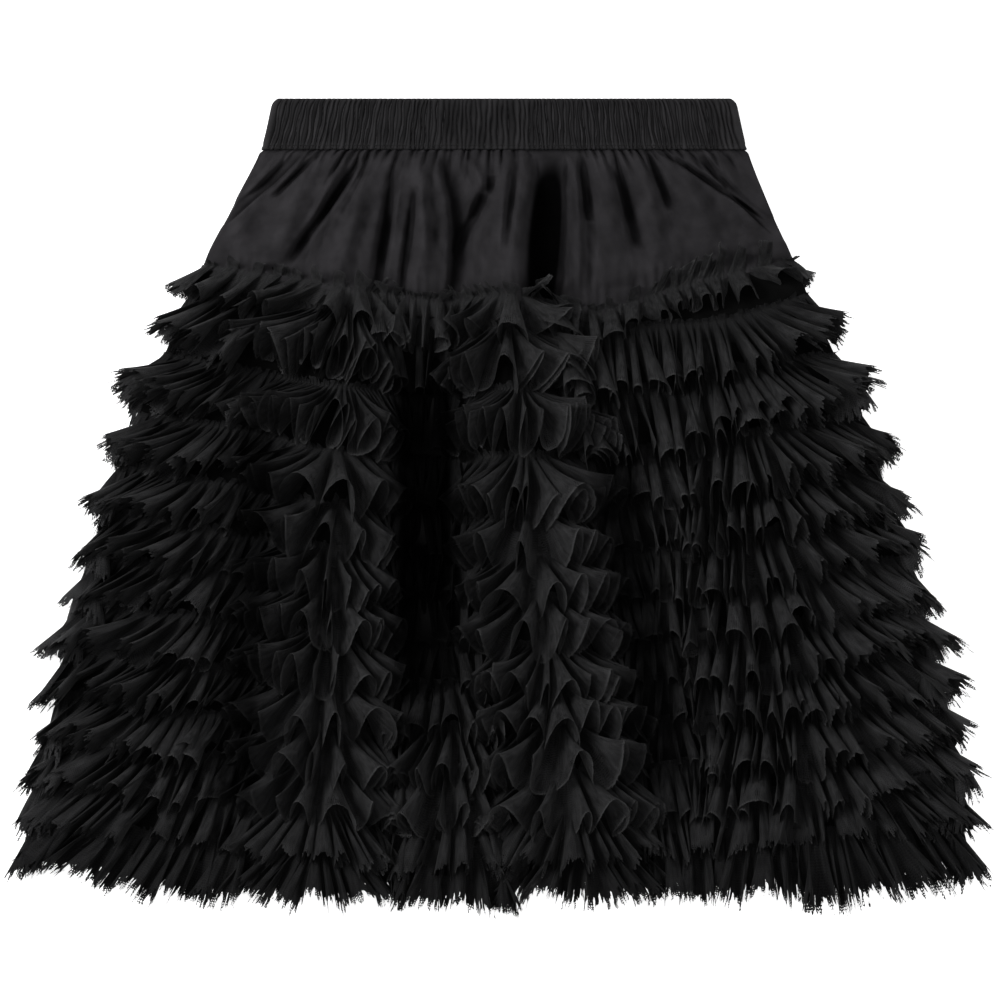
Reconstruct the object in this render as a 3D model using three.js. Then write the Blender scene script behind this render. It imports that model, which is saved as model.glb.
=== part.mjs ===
// A black tulle skirt laid flat on its back on the plane z = 0, with its waist towards +Y.
// An elastic waistband and a plain woven yoke carry a base skirt, and thirteen gathered strips of tulle are
// sewn round that base in overlapping tiers. Each piece is a tube that lies pressed flat, its front on its
// back. The spare width of the front stands up in soft ridges that run from the yoke to the hem.
// The sizes are in millimetres. A place on a piece is given by across, from -1 at the left side fold to 1 at
// the right one, and by down, the length along the middle of the skirt from the top of the waistband.
import * as THREE from "three";

const CLOTH = 1.4; // wall of the yoke and the base skirt
const TULLE = 1.3; // wall of a gathered strip
const SEAM_GAP = 0.3; // between pieces that are sewn together
const SLACK = 3.1; // height of the loose front above the back, away from the ridges
const SLACK_POWER = 6; // how late the slack falls off towards the side folds

const BAND = { height: 34, thickness: 8, wall: 3, ribs: 62, ribDepth: 1.2, edgeShare: 0.35 };
const YOKE_END = 122; // where the yoke is sewn to the base skirt
const BASE_END = 514; // hem of the base skirt

const STRIP = {
  flare: 15, // reach of a free edge past the side folds
  flareFrom: 0.84, // where across the piece that reach begins
  lift: 11.5, // height of a free edge above the base
  edgeLift: 6, // the same at the side folds
  ridgeLift: 4.5, // added to it on a ridge
  power: 1.25, // how late it bends up
  waves: 9,
  waveShare: 0.3, // share of the lift that a wave goes up and down
  petal: 4.5, // how far a wave draws the free edge down and up
  uneven: 0.12, // share of a wave by which the waves are closer in some stretches than in others
  unevenTurns: 1.5, // how often they get closer and wider across a strip
  stagger: 0.37, // share of a wave between one strip's waves and the next one's
  fan: 5, // sideways spread of a free edge on the flanks of a high ridge
};
const STRIP_TILT = 2.7; // height of a strip's seam under the back, its free edge on the floor
const BACK_HEIGHT = STRIP_TILT + TULLE + SEAM_GAP; // the base's back lies on the strips' backs
const BACK_RISE = { from: 88, to: YOKE_END };

// The outline: half the width at each length, how far the side folds are drawn up there, and how far the
// cloth lies to the right of the middle.
const OUTLINE = [
  { down: 0, halfWidth: 153.5, drawnUp: 0, right: 3.2 },
  { down: 34, halfWidth: 161.5, drawnUp: 0, right: 3 },
  { down: 72, halfWidth: 176, drawnUp: 5, right: 1.2 },
  { down: 114, halfWidth: 191.5, drawnUp: 14, right: 0 },
  { down: 155, halfWidth: 205, drawnUp: 22, right: 0 },
  { down: 228, halfWidth: 235, drawnUp: 28, right: 0 },
  { down: 293, halfWidth: 257, drawnUp: 28, right: 0 },
  { down: 358, halfWidth: 276, drawnUp: 27, right: 0 },
  { down: 422, halfWidth: 291, drawnUp: 25, right: 0 },
  { down: 486, halfWidth: 303, drawnUp: 23, right: 0 },
  { down: 537, halfWidth: 310, drawnUp: 21, right: 0 },
];

// The ridges in the front: the place of each crest at the yoke and at the hem, in millimetres from the
// middle, how late it bends over, its half span at both ends, its height, and where it rises.
const RIDGES = [
  { top: -103, hem: -120, bend: 1, topSpan: 40, hemSpan: 46, height: 19, riseFrom: 70, riseTo: 220 },
  { top: 10, hem: 58, bend: 1.6, topSpan: 36, hemSpan: 50, height: 23, riseFrom: 44, riseTo: 200 },
  { top: -36, hem: -30, bend: 1, topSpan: 26, hemSpan: 34, height: 9, riseFrom: 330, riseTo: 430 },
  { top: -170, hem: -235, bend: 1, topSpan: 30, hemSpan: 60, height: 6, riseFrom: 110, riseTo: 260 },
  { top: 140, hem: 215, bend: 1, topSpan: 45, hemSpan: 80, height: 7, riseFrom: 110, riseTo: 260 },
];
const RIDGE_TOP = 120; // length where the places and spans at the yoke are measured
const RIDGE_HEM = 536;
const HIGH_RIDGE = 19;

// The troughs between the gathers of the yoke: both ends of each one, its depth and its half width.
const TROUGHS = [
  { fromX: -138, fromDown: 36, toX: -181, toDown: 96, depth: 3, half: 7 },
  { fromX: -93, fromDown: 36, toX: -118, toDown: 92, depth: 2.6, half: 7 },
  { fromX: -71, fromDown: 50, toX: -76, toDown: 118, depth: 4, half: 7 },
  { fromX: -40, fromDown: 36, toX: -32, toDown: 126, depth: 6, half: 7 },
  { fromX: -6, fromDown: 50, toX: -23, toDown: 104, depth: 4, half: 6 },
  { fromX: 10, fromDown: 42, toX: 4, toDown: 106, depth: 3, half: 6 },
  { fromX: 41, fromDown: 40, toX: 33, toDown: 136, depth: 11, half: 9 },
  { fromX: 56, fromDown: 36, toX: 60, toDown: 80, depth: 3, half: 6 },
  { fromX: 78, fromDown: 36, toX: 92, toDown: 100, depth: 3, half: 6 },
  { fromX: 104, fromDown: 36, toX: 110, toDown: 80, depth: 2.8, half: 6 },
  { fromX: 114, fromDown: 36, toX: 164, toDown: 100, depth: 3, half: 7 },
  { fromX: 134, fromDown: 36, toX: 182, toDown: 96, depth: 2.8, half: 6 },
];

// The strips of tulle: where each is sewn on and where its free edge lies.
const STRIPS = [
  { sewn: YOKE_END + SEAM_GAP, free: 155 },
  { sewn: 150, free: 201 },
  { sewn: 195, free: 245 },
  { sewn: 237, free: 282 },
  { sewn: 271, free: 313 },
  { sewn: 301, free: 343 },
  { sewn: 330, free: 372 },
  { sewn: 360, free: 402 },
  { sewn: 389, free: 431 },
  { sewn: 417, free: 459 },
  { sewn: 444, free: 486 },
  { sewn: 469, free: 511 },
  { sewn: 494, free: 536 },
];

// The steps of the walls. The base has a row at each seam, so that the strips can follow it closely.
const BASE_COLUMNS = 27;
const STRIP_COLUMNS = BASE_COLUMNS * 2;
const YOKE_COLUMNS = 54;
const BAND_COLUMNS = BAND.ribs * 2;
const BACK_COLUMNS = 8;
const FOLD_STEPS = 3;
const BAND_ROWS = [0, BAND.height / 2, BAND.height];
const YOKE_ROWS = [BAND.height + SEAM_GAP, 46, 62, 80, 100, YOKE_END];
const BASE_ROWS = [...STRIPS.map((strip) => strip.sewn), BASE_END];
const STRIP_SHARES = [0, 0.5, 1];

const lerp = THREE.MathUtils.lerp;
const smooth = THREE.MathUtils.smoothstep;
const clamp01 = (t) => Math.min(1, Math.max(0, t));

// A column of the outline at a length, on a smooth curve through its rows.
function outlineAt(down, column) {
  const last = OUTLINE.length - 1;
  let i = 0;
  while (i < last - 1 && OUTLINE[i + 1].down < down) i += 1;
  const slope = (k) => {
    const [low, high] = [OUTLINE[Math.max(k - 1, 0)], OUTLINE[Math.min(k + 1, last)]];
    return (high[column] - low[column]) / (high.down - low.down);
  };
  const [a, b] = [OUTLINE[i], OUTLINE[i + 1]];
  const step = b.down - a.down;
  const t = (down - a.down) / step;
  const [t2, t3] = [t * t, t * t * t];
  return (
    a[column] * (2 * t3 - 3 * t2 + 1) +
    b[column] * (3 * t2 - 2 * t3) +
    slope(i) * step * (t3 - 2 * t2 + t) +
    slope(i + 1) * step * (t3 - t2)
  );
}

// The round of a side fold, and where a place on the yoke or the base lies.
const PANEL_FOLD = CLOTH + SEAM_GAP / 2;
const acrossTo = (across, down, fold) =>
  outlineAt(down, "right") + across * (outlineAt(down, "halfWidth") - fold);
const panelX = (across, down) => acrossTo(across, down, PANEL_FOLD);
const lengthwise = (across, down) => outlineAt(down, "drawnUp") * across * across - down;

// Where a place lies on one ridge, from -1 to 1 across its span.
function ridgeSide(ridge, x, down) {
  const share = clamp01((down - RIDGE_TOP) / (RIDGE_HEM - RIDGE_TOP));
  const crest = lerp(ridge.top, ridge.hem, share ** ridge.bend);
  return (x - crest) / lerp(ridge.topSpan, ridge.hemSpan, share);
}

// The sum over the ridges of a form that each has across its span.
function overRidges(x, down, form) {
  return RIDGES.reduce((sum, ridge) => {
    const side = ridgeSide(ridge, x, down);
    const rise = smooth(down, ridge.riseFrom, ridge.riseTo);
    return sum + (Math.abs(side) < 1 ? ridge.height * rise * form(side) : 0);
  }, 0);
}

const ridgeHeight = (x, down) => overRidges(x, down, (side) => (1 + Math.cos(Math.PI * side)) / 2);
const ridgeFlank = (x, down) => overRidges(x, down, (side) => Math.sin(Math.PI * side)) / HIGH_RIDGE;

// How much taller than thick a wall is where a ridge makes it steep.
const steepness = (x, down) => Math.hypot(1, (ridgeHeight(x + 1, down) - ridgeHeight(x - 1, down)) / 2);

function troughDepth(x, down) {
  return TROUGHS.reduce((sum, trough) => {
    const share = (down - trough.fromDown) / (trough.toDown - trough.fromDown);
    if (share <= 0 || share >= 1) return sum;
    const side = (x - lerp(trough.fromX, trough.toX, share)) / trough.half;
    return sum + trough.depth * Math.sin(Math.PI * share) * Math.exp(-side * side);
  }, 0);
}

// The heights of the yoke and the base: under the back, under the front, and over the front.
const backUnder = (down) => BACK_HEIGHT * smooth(down, BACK_RISE.from, BACK_RISE.to);

function frontUnder(across, down) {
  const x = panelX(across, down);
  const loose = SLACK * (1 - across ** SLACK_POWER) + ridgeHeight(x, down) - troughDepth(x, down);
  return backUnder(down) + CLOTH + SEAM_GAP + Math.max(0, loose);
}

const frontWall = (across, down) => CLOTH * steepness(panelX(across, down), down);
const frontOver = (across, down) => frontUnder(across, down) + frontWall(across, down);

// The front's upper side as the base has it: straight from one of its columns to the next.
function baseOver(across, down) {
  const place = ((across + 1) / 2) * BASE_COLUMNS;
  const low = Math.min(Math.floor(place), BASE_COLUMNS - 1);
  const at = (column) => frontOver((2 * column) / BASE_COLUMNS - 1, down);
  return lerp(at(low), at(low + 1), place - low);
}

// One ring of points round a piece, on the outside of its wall or the inside: the front from left to right,
// the right fold, the back from right to left, and the left fold.
function ringPoints(ring, inside) {
  const { columns, x, y, under, wall, floor, thick, fold, frontShift = () => [0, 0] } = ring;
  const inset = inside ? thick : 0;
  const points = [];
  for (let i = 0; i <= columns; i += 1) {
    const across = (2 * i) / columns - 1;
    const [shiftX, shiftY] = frontShift(across);
    points.push([x(across) + shiftX, y(across) + shiftY, under(across) + (inside ? 0 : wall(across))]);
  }
  const addFold = (across) => {
    const top = under(across) + wall(across);
    const [middle, reach] = [(top + floor) / 2, (top - floor) / 2 - inset];
    for (let i = 1; i < FOLD_STEPS; i += 1) {
      const turn = (Math.PI * i) / FOLD_STEPS;
      const out = across * (fold - inset) * Math.sin(turn);
      points.push([x(across) + out, y(across), middle + across * reach * Math.cos(turn)]);
    }
  };
  addFold(1);
  for (let i = 0; i <= BACK_COLUMNS; i += 1) {
    const across = 1 - (2 * i) / BACK_COLUMNS;
    points.push([x(across), y(across), floor + inset]);
  }
  addFold(-1);
  return points;
}

// A closed wall through the rings of a piece, from its top end to its bottom end.
function tubeGeometry(rings) {
  const loops = [...rings.map((ring) => ringPoints(ring, false))];
  loops.push(...rings.map((ring) => ringPoints(ring, true)).reverse());
  const around = loops[0].length;
  const faces = [];
  loops.forEach((_, level) => {
    const next = (level + 1) % loops.length;
    for (let i = 0; i < around; i += 1) {
      const j = (i + 1) % around;
      const [a, b, c, d] = [level * around + i, next * around + i, next * around + j, level * around + j];
      faces.push(a, b, c, a, c, d);
    }
  });
  const geometry = new THREE.BufferGeometry();
  geometry.setAttribute("position", new THREE.Float32BufferAttribute(loops.flat(2), 3));
  geometry.setIndex(faces);
  geometry.computeVertexNormals();
  return geometry;
}

// The waistband lies flat. Its front is gathered in ribs that fade towards its two edges.
function bandRing(down) {
  const { height, thickness, wall, ribDepth, edgeShare } = BAND;
  const fold = thickness / 2;
  const depth = ribDepth * lerp(edgeShare, 1, Math.sin((Math.PI * down) / height));
  const rib = (across) => Math.cos(((across + 1) / 2) * BAND_COLUMNS * Math.PI);
  return {
    columns: BAND_COLUMNS,
    x: (across) => acrossTo(across, down, fold),
    y: () => -down,
    under: () => thickness - wall,
    wall: (across) => wall + (depth * (rib(across) - 1)) / 2,
    floor: 0,
    thick: wall,
    fold,
  };
}

const panelRing = (columns) => (down) => ({
  columns,
  x: (across) => panelX(across, down),
  y: (across) => lengthwise(across, down),
  under: (across) => frontUnder(across, down),
  wall: (across) => frontWall(across, down),
  floor: backUnder(down),
  thick: CLOTH,
  fold: PANEL_FOLD,
});

// A strip leaves the base at its seam and stands off towards its free edge, where it waves and flares. Its
// back is pressed flat, each one on the seam of the next.
function stripRing(strip, index, share) {
  const down = lerp(strip.sewn, strip.free, share);
  const bend = share ** STRIP.power;
  const side = (across) => smooth(Math.abs(across), STRIP.flareFrom, 1);
  const wave = (across) => {
    const place = STRIP.waves * ((across + 1) / 2) + index * STRIP.stagger;
    return Math.sin(2 * Math.PI * (place + STRIP.uneven * Math.sin(2 * Math.PI * STRIP.unevenTurns * across + index)));
  };
  const lift = (across) => {
    const crest = Math.min(1, ridgeHeight(panelX(across, down), down) / HIGH_RIDGE);
    const middle = STRIP.lift + STRIP.ridgeLift * crest;
    return lerp(middle, STRIP.edgeLift, side(across)) * (1 + STRIP.waveShare * wave(across));
  };
  return {
    columns: STRIP_COLUMNS,
    x: (across) => panelX(across, down) + share * STRIP.flare * side(across) * Math.sign(across),
    y: (across) => lengthwise(across, down),
    frontShift: (across) => [
      share * STRIP.fan * ridgeFlank(panelX(across, down), down),
      -share * STRIP.petal * (1 - side(across)) * wave(across),
    ],
    under: (across) => baseOver(across, down) + SEAM_GAP + lift(across) * bend,
    wall: (across) => TULLE * steepness(panelX(across, down), down),
    floor: STRIP_TILT * (1 - share),
    thick: TULLE,
    fold: PANEL_FOLD + SEAM_GAP + TULLE,
  };
}

const bandMaterial = new THREE.MeshStandardMaterial({ color: 0x1b1b1d, roughness: 0.8, metalness: 0 });
const yokeMaterial = new THREE.MeshStandardMaterial({ color: 0x242326, roughness: 0.62, metalness: 0 });
const baseMaterial = new THREE.MeshStandardMaterial({ color: 0x0b0b0c, roughness: 0.9, metalness: 0 });
const tulleMaterial = new THREE.MeshStandardMaterial({ color: 0x111112, roughness: 0.85, metalness: 0 });

const skirt = new THREE.Group();

function addPiece(name, rings, material) {
  const mesh = new THREE.Mesh(tubeGeometry(rings), material);
  mesh.name = name;
  skirt.add(mesh);
}

addPiece("waistband", BAND_ROWS.map(bandRing), bandMaterial);
addPiece("yoke", YOKE_ROWS.map(panelRing(YOKE_COLUMNS)), yokeMaterial);
addPiece("base_skirt", BASE_ROWS.map(panelRing(BASE_COLUMNS)), baseMaterial);
STRIPS.forEach((strip, index) => {
  const name = `ruffle_${String(index + 1).padStart(2, "0")}`;
  addPiece(name, STRIP_SHARES.map((share) => stripRing(strip, index, share)), tulleMaterial);
});

// The origin is the middle of the skirt's box on the floor.
const middle = new THREE.Box3().setFromObject(skirt).getCenter(new THREE.Vector3());
skirt.position.set(-middle.x, -middle.y, 0);

export default skirt;
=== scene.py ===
"""A black tulle skirt laid flat on its back: ribbed waistband, gathered yoke and thirteen frilled tiers.

The cloth is worked out in millimetres in the frame of the solids, with x to the right, y towards the
waist and z up. A place on the skirt is given by across, from -1 at the left side fold to 1 at the right
one, and by down, the length along the middle from the top of the waistband.
"""
import math

import bpy
import numpy as np
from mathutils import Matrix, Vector


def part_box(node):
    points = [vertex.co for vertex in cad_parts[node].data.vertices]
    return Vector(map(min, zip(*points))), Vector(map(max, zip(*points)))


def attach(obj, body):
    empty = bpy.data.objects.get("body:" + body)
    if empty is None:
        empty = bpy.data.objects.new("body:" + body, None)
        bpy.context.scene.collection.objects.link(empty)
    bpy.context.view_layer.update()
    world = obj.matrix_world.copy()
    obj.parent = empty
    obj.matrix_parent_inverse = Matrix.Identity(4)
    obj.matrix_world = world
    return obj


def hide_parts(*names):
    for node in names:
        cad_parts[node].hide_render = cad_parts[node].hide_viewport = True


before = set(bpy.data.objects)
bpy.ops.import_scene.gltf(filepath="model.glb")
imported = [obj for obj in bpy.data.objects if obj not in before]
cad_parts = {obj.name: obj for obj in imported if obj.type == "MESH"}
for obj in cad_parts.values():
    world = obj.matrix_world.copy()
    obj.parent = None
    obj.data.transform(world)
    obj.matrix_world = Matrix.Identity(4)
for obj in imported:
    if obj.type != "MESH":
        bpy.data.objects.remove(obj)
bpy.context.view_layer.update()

METRES = 0.001
TOP_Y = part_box("waistband")[1].y / METRES  # the waistband's top edge
SEED = 41

# The skirt's sizes, as in the solids.
CLOTH = 1.4
TULLE = 1.3
SEAM_GAP = 0.3
SLACK = 3.1
BAND_HEIGHT = 34.0
BAND_THICKNESS = 8.0
YOKE_END = 122.0
BASE_END = 514.0
STRIP_TILT = 2.7
STRIP_FLOOR = STRIP_TILT + TULLE / 2  # the height of the seams on the back
BACK_HEIGHT = STRIP_TILT + TULLE + SEAM_GAP
BACK_RISE = (88.0, YOKE_END)
PANEL_FOLD = CLOTH + SEAM_GAP / 2
BACK_COLUMNS = 60
ROLL_SIZE = 2.4  # how much higher the rolls stand than their table says
SOFTNESS = 1.1  # how sharply a fold's bottom meets the cloth under it, per millimetre
BILLOW = 12.0  # how far the yoke stands up between its troughs

# The outline: length down, half the width there, how far the side folds are drawn up, and how far the
# cloth lies to the right.
OUTLINE = np.array([
    (0, 153.5, 0, 3.2),
    (34, 161.5, 0, 3),
    (72, 176, 5, 1.2),
    (114, 191.5, 14, 0),
    (155, 205, 22, 0),
    (228, 235, 28, 0),
    (293, 257, 28, 0),
    (358, 276, 27, 0),
    (422, 291, 25, 0),
    (486, 303, 23, 0),
    (537, 310, 21, 0),
], float)

# The ridges: x of the crest at the yoke and at the hem, how late it bends over, half its span at both ends,
# its height, and where it rises.
RIDGES = (
    (-103, -120, 1.0, 40, 46, 19, (70, 220)),
    (10, 58, 1.6, 36, 50, 23, (44, 200)),
    (-36, -30, 1.0, 26, 34, 9, (330, 430)),
    (-170, -235, 1.0, 30, 60, 6, (110, 260)),
    (140, 215, 1.0, 45, 80, 7, (110, 260)),
)
RIDGE_TOP = 120.0
RIDGE_HEM = 536.0
HIGH_RIDGE = 19.0

# The troughs of the yoke: x and length down at both ends, how far the middle bows to the right, depth, and
# how far the left and the right wall reach.
TROUGHS = (
    (-130, 34, -192, 100, 0, 15.0, 4.5, 3.2),
    (-118, 34, -150, 70, 0, 7.0, 3.0, 2.5),
    (-90, 38, -140, 120, -1, 12.0, 4.2, 3.0),
    (-84, 34, -104, 80, 0, 5.0, 3.0, 3.0),
    (-67, 44, -82, 140, 0, 12.0, 5.0, 3.0),
    (-55, 60, -66, 138, 0, 6.0, 3.0, 3.0),
    (-39, 34, -34, 142, 9, 13.0, 4.5, 6.2),
    (-3, 52, -29, 104, 0, 10.0, 4.5, 4.0),
    (11, 42, 3, 110, 0, 7.0, 3.5, 3.0),
    (36, 22, 25, 170, 0, 30.0, 14.0, 13.0),
    (54, 34, 60, 84, 0, 12.0, 4.5, 4.0),
    (74, 34, 92, 104, 0, 9.0, 4.0, 5.0),
    (99, 34, 114, 78, 0, 8.5, 3.5, 3.5),
    (104, 33, 190, 100, 4, 11.0, 3.4, 4.0),
    (128, 33, 190, 108, 0, 12.0, 3.4, 4.0),
)

# The rolls between them: x and length down at both ends, height and half width.
ROLLS = (
    (-150, 40, -176, 104, 2.5, 7.0),
    (-128, 50, -150, 122, 3.5, 9.0),
    (-108, 38, -126, 100, 3.0, 5.0),
    (-88, 44, -106, 126, 3.5, 7.0),
    (-53, 36, -48, 116, 4.0, 5.5),
    (-66, 40, -72, 90, 2.0, 3.0),
    (-20, 40, -6, 70, 2.5, 4.0),
    (2, 34, 6, 134, 4.0, 9.0),
    (23, 36, 14, 150, 4.5, 8.0),
    (50, 38, 52, 134, 4.0, 6.0),
    (66, 38, 78, 128, 4.0, 11.0),
    (92, 36, 108, 110, 2.5, 6.0),
    (116, 36, 146, 112, 3.5, 8.0),
    (140, 36, 170, 108, 3.0, 7.0),
)

# The tiers: length down at the seam and at the free edge.
TIERS = (
    (YOKE_END + SEAM_GAP, 155), (150, 201), (195, 245), (237, 282), (271, 313), (301, 343), (330, 372),
    (360, 402), (389, 431), (417, 459), (444, 486), (469, 511), (494, 536),
)


def share_between(value, low, high):
    return np.clip((np.asarray(value, float) - low) / (high - low), 0, 1)


def smooth(value, low, high):
    t = share_between(value, low, high)
    return t * t * (3 - 2 * t)


def mix(a, b, share):
    return a + (b - a) * share


def unit(vectors):
    return vectors / np.maximum(np.linalg.norm(vectors, axis=-1, keepdims=True), 1e-9)


def scaled(ways, sizes):
    """Directions, each times its own size."""
    return ways * sizes[:, None]


def length_along(path):
    """The length along a path from its first point to each of its points."""
    return np.concatenate([[0], np.cumsum(np.linalg.norm(np.diff(path, axis=0), axis=-1))])


def at_place(table, place):
    """The second column of a table, at places given in its first."""
    return np.interp(place, *zip(*table))


def outline(down, column):
    """A column of the outline on a smooth curve through its rows: 1 half width, 2 draw-up, 3 shift."""
    down = np.asarray(down, float)
    at = OUTLINE[:, 0]
    values = OUTLINE[:, column]
    last = len(at) - 1
    slopes = np.array([
        (values[min(k + 1, last)] - values[max(k - 1, 0)]) / (at[min(k + 1, last)] - at[max(k - 1, 0)])
        for k in range(last + 1)
    ])
    i = np.clip(np.searchsorted(at, down, side="left") - 1, 0, last - 1)
    step = at[i + 1] - at[i]
    t = (down - at[i]) / step
    t2 = t * t
    t3 = t2 * t
    ends = values[i] * (2 * t3 - 3 * t2 + 1) + values[i + 1] * (3 * t2 - 2 * t3)
    return ends + step * (slopes[i] * (t3 - 2 * t2 + t) + slopes[i + 1] * (t3 - t2))


def over_ridges(x, down, form):
    """The sum over the ridges of a form that each has across its span, weighted by its height."""
    share = share_between(down, RIDGE_TOP, RIDGE_HEM)
    total = np.zeros(np.broadcast(x, down).shape)
    for top, hem, bend, top_span, hem_span, height, rise in RIDGES:
        side = (x - mix(top, hem, share**bend)) / mix(top_span, hem_span, share)
        total = total + np.where(np.abs(side) < 1, height * smooth(down, *rise) * form(side), 0)
    return total


def ridge_height(x, down):
    return over_ridges(x, down, lambda side: (1 + np.cos(np.pi * side)) / 2)


def ridge_flank(x, down):
    return over_ridges(x, down, lambda side: np.sin(np.pi * side)) / HIGH_RIDGE


def trough_depth(x, down):
    total = np.zeros(np.broadcast(x, down).shape)
    for from_x, from_down, to_x, to_down, bow, depth, left, right in TROUGHS:
        share = share_between(down, from_down, to_down)
        side = x - mix(from_x, to_x, share) - 4 * bow * share * (1 - share)
        side = side / np.where(side < 0, left, right)
        total = total + depth * np.sin(np.pi * share) ** 0.7 * np.exp(-(np.abs(side) ** 2.6))
    return total


def roll_height(x, down):
    total = np.zeros(np.broadcast(x, down).shape)
    for from_x, from_down, to_x, to_down, height, half in ROLLS:
        share = share_between(down, from_down, to_down)
        side = (x - mix(from_x, to_x, share)) / half
        total = total + ROLL_SIZE * height * np.sin(np.pi * share) ** 0.7 * np.exp(-side * side)
    return total


def back_under(down):
    return BACK_HEIGHT * smooth(down, *BACK_RISE)


def front_points(across, down, relief=None):
    """Points on the upper side of the yoke and the base, with a relief(x, down) of their own."""
    across, down = np.broadcast_arrays(np.asarray(across, float), np.asarray(down, float))
    x = outline(down, 3) + across * (outline(down, 1) - PANEL_FOLD)
    y = TOP_Y + outline(down, 2) * across**2 - down
    billow = BILLOW * smooth(down, BAND_HEIGHT - 2, 66) * (1 - smooth(down, YOKE_END - 30, YOKE_END + 60))
    loose = SLACK * (1 - across**6) + billow * (1 - across**2) + ridge_height(x, down)
    loose = loose + roll_height(x, down) - trough_depth(x, down)
    if relief:
        loose = loose + relief(x, down) * (1 - across**14)
    z = back_under(down) + 2 * CLOTH + SEAM_GAP + np.logaddexp(0, SOFTNESS * loose) / SOFTNESS
    return np.stack([x, y, z], axis=-1)


def add_object(name, data):
    item = bpy.data.objects.new(name, data)
    bpy.context.scene.collection.objects.link(item)
    return item


def add_piece(name, mesh, material):
    """Adds a piece of the skirt, which rides on its one body."""
    mesh.materials.append(material)
    piece = add_object(name, mesh)
    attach(piece, "root")
    return piece


def add_grid(name, points, uvs, material):
    """A mesh through a grid of points in millimetres, rows first, with a UV map in metres."""
    rows, columns = points.shape[:2]
    index = np.arange(rows * columns).reshape(rows, columns)
    corners = [index[:-1, :-1], index[1:, :-1], index[1:, 1:], index[:-1, 1:]]
    quads = np.stack(corners, axis=-1).reshape(-1, 4)
    mesh = bpy.data.meshes.new(name)
    mesh.vertices.add(rows * columns)
    mesh.vertices.foreach_set("co", (points.reshape(-1, 3) * METRES).astype(np.float32).ravel())
    mesh.loops.add(quads.size)
    mesh.loops.foreach_set("vertex_index", quads.astype(np.int32).ravel())
    mesh.polygons.add(len(quads))
    mesh.polygons.foreach_set("loop_start", np.arange(0, quads.size, 4, dtype=np.int32))
    mesh.polygons.foreach_set("use_smooth", np.ones(len(quads), dtype=bool))
    mesh.update(calc_edges=True)
    layer = mesh.uv_layers.new(name="cloth")
    layer.data.foreach_set("uv", (uvs.reshape(-1, 2)[quads.ravel()] * METRES).astype(np.float32).ravel())
    mesh.validate()
    return add_piece(name, mesh, material)


def fold_arc(top, bottom, side, steps):
    """Points and outward directions round a side fold, from the front's last point to the back's first."""
    middle = (top + bottom) / 2
    radius = (top[..., 2:] - bottom[..., 2:]) / 2
    turn = np.pi * np.arange(1, steps) / steps
    if side < 0:
        turn = turn[::-1]
    out = np.stack([side * np.sin(turn), np.zeros(steps - 1), np.cos(turn)], axis=-1)
    return middle[..., None, :] + radius[..., None, :] * out, out


def ring(front, right, back, left):
    """Values all round the skirt: the front, the right fold, the back, the left fold, the first again."""
    return np.concatenate([front, right, back, left, front[:1]])


def tube_points(downs, front_columns, back_columns, relief, droop=None):
    """A flattened tube of woven cloth: rows of points round it, with a relief on the front in millimetres.

    droop(across, downs) is how far the front's rows sag below their length.
    """
    downs = np.asarray(downs, float)[:, None]
    across = np.linspace(-1, 1, front_columns + 1)[None, :]
    front_downs = downs + (droop(across, downs) if droop else 0 * across)
    front = front_points(across, front_downs, relief)
    back_across = np.linspace(1, -1, back_columns + 1)[None, :]
    back = front_points(back_across, downs + (droop(np.sign(back_across), downs) if droop else 0))
    back[..., 2] = back_under(downs) + 0.2
    right = fold_arc(front[:, -1], back[:, 0], 1, 4)[0]
    left = fold_arc(front[:, 0], back[:, -1], -1, 4)[0]
    return np.concatenate([front, right, back, left, front[:, :1]], axis=1)


def length_uvs(points):
    """UVs that follow the cloth: the length along the middle row, and the mean length down the columns."""
    along = length_along(points[len(points) // 2])
    steps = np.linalg.norm(np.diff(points, axis=0), axis=-1).mean(axis=1)
    down = np.concatenate([[0], np.cumsum(steps)])
    return np.stack(np.broadcast_arrays(along[None, :], -down[:, None]), axis=-1)


GATHERS = 58
GATHERS_END = 158  # half the width over which the gathers are spread
GATHER_PUFF = 2.4  # how far the cloth puffs out between them
GATHER_LENGTHS = (7, 11, 17, 26, 40)
GATHER_CHANCES = (0.3, 0.28, 0.2, 0.14, 0.08)


def gather_relief(rng):
    """The short grooves under the waistband, each slanting outwards and fading over its own length."""
    starts = np.linspace(-GATHERS_END, GATHERS_END, GATHERS) + rng.uniform(-2.0, 2.0, GATHERS)
    reach = rng.choice(GATHER_LENGTHS, GATHERS, p=GATHER_CHANCES) * rng.uniform(0.8, 1.3, GATHERS)
    depth = rng.uniform(2.6, 5.2, GATHERS)
    lean = starts / GATHERS_END * rng.uniform(0.45, 0.95, GATHERS)
    widths = rng.uniform(1.0, 1.7, GATHERS)

    def relief(x, down):
        past = np.maximum(down - BAND_HEIGHT, 0)
        total = GATHER_PUFF * smooth(past, 0, 6) * (1 - smooth(past, 14, 50)) * np.ones(x.shape)
        for start, length, deep, slope, width in zip(starts, reach, depth, lean, widths):
            side = (x - start - slope * past) / (width + 0.05 * past)
            total -= deep * np.exp(-((past / length) ** 1.5)) * np.exp(-side * side)
        puckers = 0.35 * np.sin(x * 0.9 + 2 * np.sin(x * 0.11)) * smooth(down, YOKE_END - 16, YOKE_END)
        crumples = 0.55 * np.sin(x * 0.31 + 1.9 * np.sin(down * 0.085)) * np.sin(down * 0.15 + x * 0.06)
        crumples = crumples + 0.3 * np.sin(x * 0.62 - down * 0.11) * np.sin(down * 0.27 - x * 0.09 + 1)
        return total + puckers + crumples * smooth(past, 4, 20)

    return relief


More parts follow.
